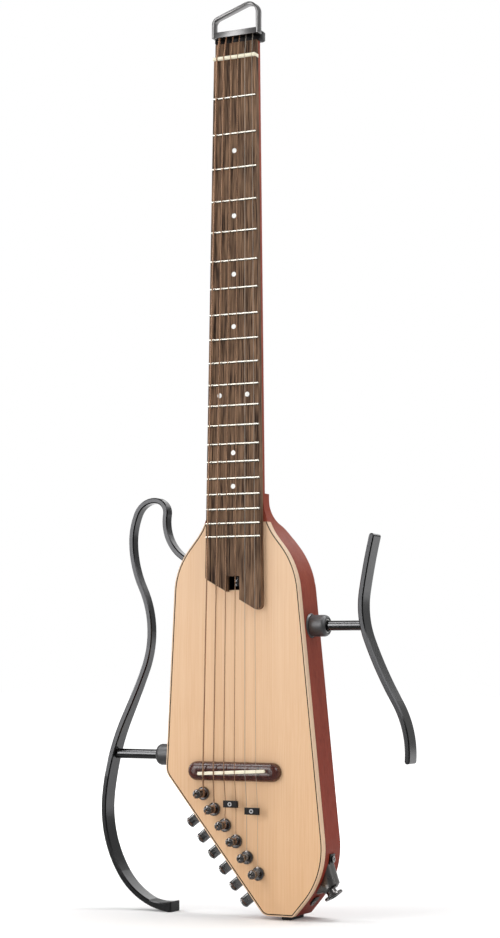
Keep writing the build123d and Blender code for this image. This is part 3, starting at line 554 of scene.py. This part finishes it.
def cut_screws(node, heads, axis, drive, size, depth):
    """heads are the points on the heads' faces, axis points out of them."""
    piece = solid_copy(node)
    axis = Vector(axis).normalized()
    for head in heads:
        head = Vector(head)
        if drive == "hex":
            cut_away(piece, add_round(head, axis, size, depth + 1.0, sides=6, start=-depth))
        else:
            for turn in (0.3, 0.3 + math.pi / 2):
                cut_away(piece, add_block(head, axis, (size, size * 0.26, depth * 2), turn))
    return stand_for(piece, node)


def post_at(index):
    return (POST_FIRST[0] + EDGE_DIR[0] * POST_STEP * index, POST_FIRST[1] + EDGE_DIR[2] * POST_STEP * index)


def slot_post(index):
    """A string post: a broad dome with a slot, and a hole down its middle for the string's end."""
    x, z = post_at(index)
    node = f"tuner_post_{index + 1}"
    piece = solid_copy(node)
    middle = place(x, 0, z)
    for vertex in piece.data.vertices:
        if vertex.co.y < place(0, -4.4, 0).y:
            out = vertex.co - middle
            vertex.co.x, vertex.co.z = middle.x + out.x * DOME_SPREAD, middle.z + out.z * DOME_SPREAD
    cut_away(piece, add_block((x, POST_TOP, z), (0, 1, 0), (SLOT_W, 12, 3.6), SLOT_TURN))
    cut_away(piece, add_round((x, POST_TOP - 1, z), (0, 1, 0), 1.1, 7.5, sides=24))
    stand_for(piece, node)


def curl_string_end(index):
    """The string's end stands in the post's hole, bends over into the slot and drops to the windings."""
    x, z = post_at(index)
    radius = max(0.24, WIRE_R[index] * 0.7)
    slot = Vector((math.sin(SLOT_TURN), 0, math.cos(SLOT_TURN)))
    points = []
    for out, depth in ((0.0, -5.6), (0.0, -8.2), (0.25, -8.9), (1.4, -9.15), (3.3, -8.8), (4.5, -7.3),
                       (4.5, -5.4), (3.6, -3.8), (2.9, -2.6), (2.7, -1.7)):
        reach = slot * (-out)
        points.append((x + reach.x, depth, z + reach.z))
    wire = bent_wire(points, radius, ring=3)
    finish = "bronze core" if index < 4 else "plain steel"
    finish_piece(wire, f"string_end_{index + 1}", f"post_{index + 1}", finish, smooth=60)


def groove_knob(index):
    """A fine groove near the knob's outer end and a shallow dish in its face."""
    x, z = post_at(index)
    node = f"tuner_knob_{index + 1}"
    start = Vector((x, SHAFT_Y, z)) + EDGE_DIR * SHAFT_OFFSET
    piece = solid_copy(node)
    deselect()
    ring = start + OUT_DIR * (KNOB_OUT - 3.4)
    bpy.ops.mesh.primitive_torus_add(major_segments=48, minor_segments=8, major_radius=KNOB_R / 1000,
                                     minor_radius=0.00032, location=place(*ring), rotation=facing(OUT_DIR))
    cut_away(piece, bpy.context.object)
    cut_away(piece, add_round(start + OUT_DIR * KNOB_OUT, OUT_DIR, KNOB_R - 1.9, 3, start=-0.6))
    stand_for(piece, node)


def twist_string(index):
    """The few turns of wire that hold the ball, wound back over the string below the string bar."""
    radius = WIRE_R[index]
    wrap = max(0.2, radius * 0.55)
    low = Vector((NUT_X[index], -1.6 - radius, 3.2))
    high = Vector((ANCHOR_X[index], -0.4, 22.9))
    run = high - low
    points = []
    turns, steps = 7, 8
    for step in range(turns * steps + 1):
        share = step / (turns * steps)
        angle = 2 * math.pi * step / steps
        middle = low + run * (0.40 + 0.52 * share)
        off = (radius + wrap) * (1.0 if 0.04 < share < 0.96 else 0.8)
        points.append(middle + Vector((math.cos(angle) * off, math.sin(angle) * off, 0)))
    wire = bent_wire(points, wrap, ring=1, steps=2)
    finish_piece(wire, f"string_twist_{index + 1}", "guitar", "bronze core" if index < 4 else "plain steel", 60)


def ring_piece(name, body, where, axis, outer, inner, height, finish, bevel=0.25):
    """A washer or a ring, turned with broken edges."""
    piece = add_round(where, axis, outer, height, sides=64)
    cut_away(piece, add_round(where, axis, inner, height + 2, sides=64, start=-1))
    use_modifier(piece, "BEVEL", width=bevel / 1000, segments=2, limit_method="ANGLE",
                 angle_limit=math.radians(50), use_clamp_overlap=True)
    return finish_piece(piece, name, body, finish)


def hex_nut(name, body, where, axis, flats, inner, height, finish):
    """A six-sided nut with its corners turned off."""
    piece = add_round(where, axis, flats / math.sqrt(3), height, sides=6)
    use_modifier(piece, "BEVEL", width=0.0003, segments=2, limit_method="ANGLE",
                 angle_limit=math.radians(50), use_clamp_overlap=True)
    cut_away(piece, add_round(where, axis, inner, height + 2, sides=48, start=-1))
    return finish_piece(piece, name, body, finish)


def widen_line():
    """The dark line round the plate, let into the wood a little wider than its groove."""
    piece = solid_copy("purfling")
    front = min(vertex.co.y for vertex in piece.data.vertices)
    pick(piece)
    bpy.ops.object.mode_set(mode="EDIT")
    bpy.ops.mesh.select_all(action="SELECT")
    bpy.ops.transform.shrink_fatten(value=0.00018)
    bpy.ops.object.mode_set(mode="OBJECT")
    for vertex in piece.data.vertices:
        vertex.co.y = max(vertex.co.y, front - 0.00003)
    stand_for(piece, "purfling")


def make_jack_hood():
    """The cast hood round the jack: it spreads from the mouth down onto the body's lower corner."""
    tabs = solid_copy("jack_plate")
    cut_away(tabs, add_block((79, BODY_MID_Y, -752.2), (0, 0, 1), (60, 40, HOOD_CUT)))
    use_modifier(tabs, "BEVEL", width=0.0012, segments=3, limit_method="ANGLE",
                 angle_limit=math.radians(60), use_clamp_overlap=True)
    mouth_up = Vector((-JACK_DIR.z, 0, JACK_DIR.x))
    along_wood = Vector((0.47, 0, 0.883))
    into_wood = Vector((-0.883, 0, 0.47))
    back = Vector((0, 1, 0))
    jack_end = Vector((84.8, BODY_MID_Y, -760.5))
    deselect()
    bpy.ops.mesh.primitive_cylinder_add(vertices=64, radius=1, depth=2)
    hood = bpy.context.object
    bpy.ops.object.mode_set(mode="EDIT")
    bpy.ops.mesh.select_mode(type="FACE")
    bpy.ops.mesh.select_all(action="DESELECT")
    bpy.ops.object.mode_set(mode="OBJECT")
    for face in hood.data.polygons:
        face.select = face.normal.z > 0.9
    bpy.ops.object.mode_set(mode="EDIT")
    bpy.ops.mesh.inset(thickness=0.2, depth=0)
    bpy.ops.object.mode_set(mode="OBJECT")
    for vertex in hood.data.vertices:
        co = vertex.co
        c, d = co.x / math.hypot(co.x, co.y), co.y / math.hypot(co.x, co.y)
        if co.z < 0:
            taper = 1 - 0.42 * (c + 1) / 2
            point = Vector((79.9, BODY_MID_Y, -750.9)) + into_wood * 2.5
            point += along_wood * (17.9 * math.copysign(abs(c) ** 0.6, c))
            point += back * (HOOD_HALF * taper * math.copysign(abs(d) ** 0.6, d))
        elif math.hypot(co.x, co.y) > 0.9:
            point = jack_end - JACK_DIR * 1.7 + mouth_up * (2.2 + 8.6 * c) + back * (8.4 * d)
        else:
            point = jack_end - JACK_DIR * 0.1 + mouth_up * (0.9 + 6.9 * c) + back * (7.0 * d)
        vertex.co = place(*point)
    bpy.ops.object.mode_set(mode="EDIT")
    bpy.ops.mesh.select_all(action="SELECT")
    bpy.ops.mesh.normals_make_consistent(inside=False)
    bpy.ops.object.mode_set(mode="OBJECT")
    cut_away(hood, add_round(jack_end, JACK_DIR, 6.0, 22, sides=64, start=-20))
    finish_piece(tabs, "jack_tabs", "guitar", "black metal")
    finish_piece(hood, "jack_hood", "guitar", "cast nickel", smooth=38)
    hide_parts("jack_plate")


def rib_foot():
    """Three grooves round the rubber foot, so that it grips."""
    piece = solid_copy("rubber_foot")
    for y in (17.7, 22.4, 27.0, 31.6, 36.3):
        cut_away(piece, add_block((47.8, y, -787.0), (0, 0, 1), (12, 0.9, 1.4)))
    stand_for(piece, "rubber_foot")


def dress_fittings():
    for index in range(6):
        slot_post(index)
        curl_string_end(index)
        groove_knob(index)
        twist_string(index)
    for node, width in (("hanging_loop", 0.45), ("string_bar", 0.35), ("head_block", 0.3),
                        ("bridge", 0.4), ("nut", 0.3), ("saddle", 0.35)):
        soften_edges(node, width)
    cut_screws("retainer_screws", [(x, -3.7, z) for x, z in RETAINERS], (0, -1, 0), "hex", 1.15, 0.7)
    # Painted shade: a near-black disc at the bottom of each hex socket stands in for the shade down in the
    # socket.
    for number, (x, z) in enumerate(RETAINERS, 1):
        shade_disc = add_round((x, -3.1, z), (0, -1, 0), 1.12, 0.12, sides=6)
        finish_piece(shade_disc, f"socket_shade_disc_{number}", "guitar", "pocket")
    cut_screws("head_screws", [(x, 9.6, 27.0) for x in (-11.0, 13.0)], (0, 0, 1), "hex", 1.9, 1.2)
    cut_screws("cover_screws", [(x, 48.5, z) for x in (-42, 32) for z in (-624, -554)], (0, 1, 0), "cross",
               2.9, 0.8)
    piece = solid_copy("jack_plate_screws")
    for (x, z), axis in (((88.1, -733.0), (1, 0, 0)), ((68.285, -772.615), (0.766, 0, -0.643))):
        for turn in (0.4, 0.4 + math.pi / 2):
            cut_away(piece, add_block((x, BODY_MID_Y, z), axis, (3.6, 0.9, 1.5), turn))
    stand_for(piece, "jack_plate_screws")
    for side, edge, length in ((-1, -71.8, 17.0), (1, 67.4, 15.5)):
        body = "left_nut" if side < 0 else "right_nut"
        z = -644.0 if side < 0 else -526.0
        ring_piece(f"{body}_ring", body, (edge + side * (length - 1.75), BODY_MID_Y, z), (side, 0, 0),
                   6.9, 5.2, 1.2, "bright steel")
    mouth = Vector((84.8, BODY_MID_Y, -760.5)) + JACK_DIR * 5.9
    ring_piece("jack_ring", "guitar", mouth, JACK_DIR, 5.6, 3.5, 0.7, "bright steel")
    make_jack_hood()
    widen_line()
    rib_foot()


dress_fittings()


# The studio

FLOOR_NEAR_GLOW, FLOOR_FAR_GLOW = 0.06, 0.9
AIR = 0.32
FRONT_DUSK = 0.16
REAR_ROOM = 0.45


def seen_directly(tree):
    """1 for the camera and for what metal or glass shows of the white room, 0 for light on the object."""
    path = tree.nodes.new("ShaderNodeLightPath")
    most = path.outputs["Is Camera Ray"]
    for label in ("Is Glossy Ray", "Is Transmission Ray"):
        either = add(tree, "ShaderNodeMath", operation="MAXIMUM")
        tree.links.new(most, either.inputs[0])
        tree.links.new(path.outputs[label], either.inputs[1])
        most = either.outputs[0]
    return path, most


def make_floor():
    bpy.ops.mesh.primitive_plane_add(size=30, location=(0, 0, 0))
    floor = bpy.context.object
    floor.name = "studio_floor"
    white = bpy.data.materials.new("studio white")
    white.use_nodes = True
    tree = white.node_tree
    link = tree.links.new
    shader = tree.nodes["Principled BSDF"]
    shader.inputs["Base Color"].default_value = (0.94, 0.94, 0.94, 1)
    shader.inputs["Roughness"].default_value = 0.9
    shader.inputs["Specular IOR Level"].default_value = 0.0
    where = tree.nodes.new("ShaderNodeTexCoord")
    reach = add(tree, "ShaderNodeVectorMath", operation="LENGTH")
    link(where.outputs["Object"], reach.inputs[0])
    glow = tree.nodes.new("ShaderNodeMapRange")
    glow.inputs["From Min"].default_value = 0.25
    glow.inputs["From Max"].default_value = 1.6
    glow.inputs["To Min"].default_value = FLOOR_NEAR_GLOW
    glow.inputs["To Max"].default_value = FLOOR_FAR_GLOW
    link(reach.outputs["Value"], glow.inputs["Value"])
    path, seen = seen_directly(tree)
    share = add(tree, "ShaderNodeMath", operation="MULTIPLY")
    link(glow.outputs[0], share.inputs[0])
    link(seen, share.inputs[1])
    light = tree.nodes.new("ShaderNodeEmission")
    link(share.outputs[0], light.inputs["Strength"])
    both = tree.nodes.new("ShaderNodeAddShader")
    link(shader.outputs[0], both.inputs[0])
    link(light.outputs[0], both.inputs[1])
    parts = tree.nodes.new("ShaderNodeSeparateXYZ")
    link(where.outputs["Object"], parts.inputs[0])
    dusk = tree.nodes.new("ShaderNodeMapRange")
    dusk.inputs["From Min"].default_value = 0.4
    dusk.inputs["From Max"].default_value = -0.15
    link(parts.outputs["Y"], dusk.inputs["Value"])
    mirrored = add(tree, "ShaderNodeMath", operation="MULTIPLY")
    link(dusk.outputs[0], mirrored.inputs[0])
    link(path.outputs["Is Glossy Ray"], mirrored.inputs[1])
    dark = tree.nodes.new("ShaderNodeEmission")
    dark.inputs["Strength"].default_value = FRONT_DUSK
    choose = tree.nodes.new("ShaderNodeMixShader")
    link(mirrored.outputs[0], choose.inputs[0])
    link(both.outputs[0], choose.inputs[1])
    link(dark.outputs[0], choose.inputs[2])
    link(choose.outputs[0], tree.nodes["Material Output"].inputs["Surface"])
    floor.data.materials.append(white)


def make_air():
    """Even light on the object, a white room behind it and dusk on the photographer's side."""
    world = bpy.data.worlds.new("studio air")
    scene.world = world
    world.use_nodes = True
    tree = world.node_tree
    link = tree.links.new
    air = tree.nodes["Background"]
    air.inputs["Color"].default_value = (1, 1, 1, 1)
    air.inputs["Strength"].default_value = AIR
    where = tree.nodes.new("ShaderNodeTexCoord")
    parts = tree.nodes.new("ShaderNodeSeparateXYZ")
    link(where.outputs["Generated"], parts.inputs[0])
    depth = tree.nodes.new("ShaderNodeMapRange")
    depth.interpolation_type = "SMOOTHSTEP"
    depth.inputs["From Min"].default_value = -0.35
    depth.inputs["From Max"].default_value = 0.3
    depth.inputs["To Min"].default_value = FRONT_DUSK
    depth.inputs["To Max"].default_value = REAR_ROOM
    link(parts.outputs["Y"], depth.inputs["Value"])
    path, seen = seen_directly(tree)
    front = add(tree, "ShaderNodeMath", operation="MAXIMUM")
    link(depth.outputs[0], front.inputs[0])
    link(path.outputs["Is Camera Ray"], front.inputs[1])
    room = tree.nodes.new("ShaderNodeBackground")
    room.inputs["Color"].default_value = (1, 1, 1, 1)
    link(front.outputs[0], room.inputs["Strength"])
    choose = tree.nodes.new("ShaderNodeMixShader")
    link(seen, choose.inputs[0])
    link(air.outputs[0], choose.inputs[1])
    link(room.outputs[0], choose.inputs[2])
    link(choose.outputs[0], tree.nodes["World Output"].inputs["Surface"])


def soft_box(name, where, aim, size, power):
    bpy.ops.object.light_add(type="AREA", location=where)
    lamp = bpy.context.object
    lamp.name = name
    lamp.data.shape = "RECTANGLE"
    lamp.data.size, lamp.data.size_y = size
    lamp.data.energy = power
    lamp.rotation_euler = (Vector(aim) - Vector(where)).to_track_quat("-Z", "Y").to_euler()
    return lamp


make_floor()
make_air()
soft_box("key soft box", (-1.1, -0.7, 2.3), (0, 0, 0.4), (0.7, 1.0), 14)
soft_box("tall strip", (-1.2, -2.3, 0.98), (0, 0, 0.45), (0.8, 1.9), 25)
soft_box("top soft box", (0.4, 0.5, 2.3), (0, 0, 0.3), (1.0, 1.0), 22)
soft_box("fill soft box", (1.6, -0.6, 1.5), (0, 0, 0.2), (0.8, 1.0), 9)
soft_box("left strip", (-2.2, 0.5, 0.9), (0, 0, 0.4), (0.6, 1.5), 18)
soft_box("rear strip", (-0.1, 2.2, 1.25), (0, 0, 0.3), (1.4, 0.7), 5)


# The camera, where the photograph was taken from

EYE = place(826.03, -1671.17, -566.50)
YAW, PITCH, ROLL = 0.4508, 0.0979, 0.0028
FOCAL_PIXELS, FRAME_PIXELS = 2053.75, 938
right = Vector((math.cos(YAW), math.sin(YAW), 0))
level = Vector((-math.sin(YAW), math.cos(YAW), 0))
forward = level * math.cos(PITCH) + Vector((0, 0, math.sin(PITCH)))
up = Vector((0, 0, math.cos(PITCH))) - level * math.sin(PITCH)
side = right * math.cos(ROLL) + up * math.sin(ROLL)
top = up * math.cos(ROLL) - right * math.sin(ROLL)
camera_data = bpy.data.cameras.new("photo camera")
camera = bpy.data.objects.new("photo camera", camera_data)
scene.collection.objects.link(camera)
turn = Matrix((side, top, -forward)).transposed().to_4x4()
camera.matrix_world = Matrix.Translation(EYE) @ turn
camera_data.sensor_width = 36.0
camera_data.lens = FOCAL_PIXELS / FRAME_PIXELS * 36.0
camera_data.clip_start = 0.05
camera_data.clip_end = 60.0
scene.camera = camera
scene.view_settings.view_transform = "Standard"
